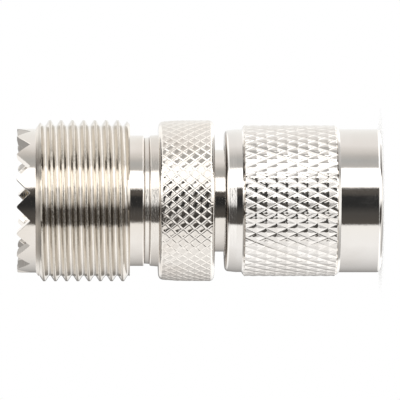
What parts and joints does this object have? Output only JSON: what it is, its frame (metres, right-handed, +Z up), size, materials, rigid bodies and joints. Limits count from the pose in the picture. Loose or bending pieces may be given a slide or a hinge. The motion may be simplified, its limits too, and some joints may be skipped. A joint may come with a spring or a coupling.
{
  "type": "coaxial adapter",
  "caption": "Straight coaxial adapter: threaded UHF socket with a toothed rim, knurled grip ring and captive knurled TNC coupling nut, nickel plated.",
  "frame": {"origin": "centre of the coupling nut's nose face, on the surface it stands on", "axes": "+Z up the common axis, from the TNC nose to the UHF rim; +X towards the middle of the split in the retaining ring"},
  "size_m": [0.0158, 0.0158, 0.0356],
  "materials": {
    "nickel": "bright nickel plating, slightly warm",
    "white_bushing": "waxy white",
    "contact_plating": "gold flash over brass",
    "silicone": "matt",
    "spring_bronze": "bare spring bronze"
  },
  "bodies": {
    "adapter_body": {"knurled_body": "nickel", "uhf_shell": "nickel", "uhf_insulator": "white_bushing", "socket_contact": "contact_plating", "tnc_insulator": "white_bushing", "tnc_pin": "contact_plating", "tnc_outer_contact": "nickel", "gasket": "silicone"},
    "split_ring": {"retaining_ring": "spring_bronze"},
    "nut": {"coupling_nut": "nickel"}
  },
  "joints": [
    {"name": "nut_spin", "type": "hinge", "parent": "adapter_body", "child": "split_ring", "pos_m": [0, 0, 0.0117], "axis": [0, 0, 1], "continuous": true},
    {"name": "nut_float", "type": "slide", "parent": "split_ring", "child": "nut", "axis": [0, 0, -1], "range_m": [0, 0.00035]}
  ]
}
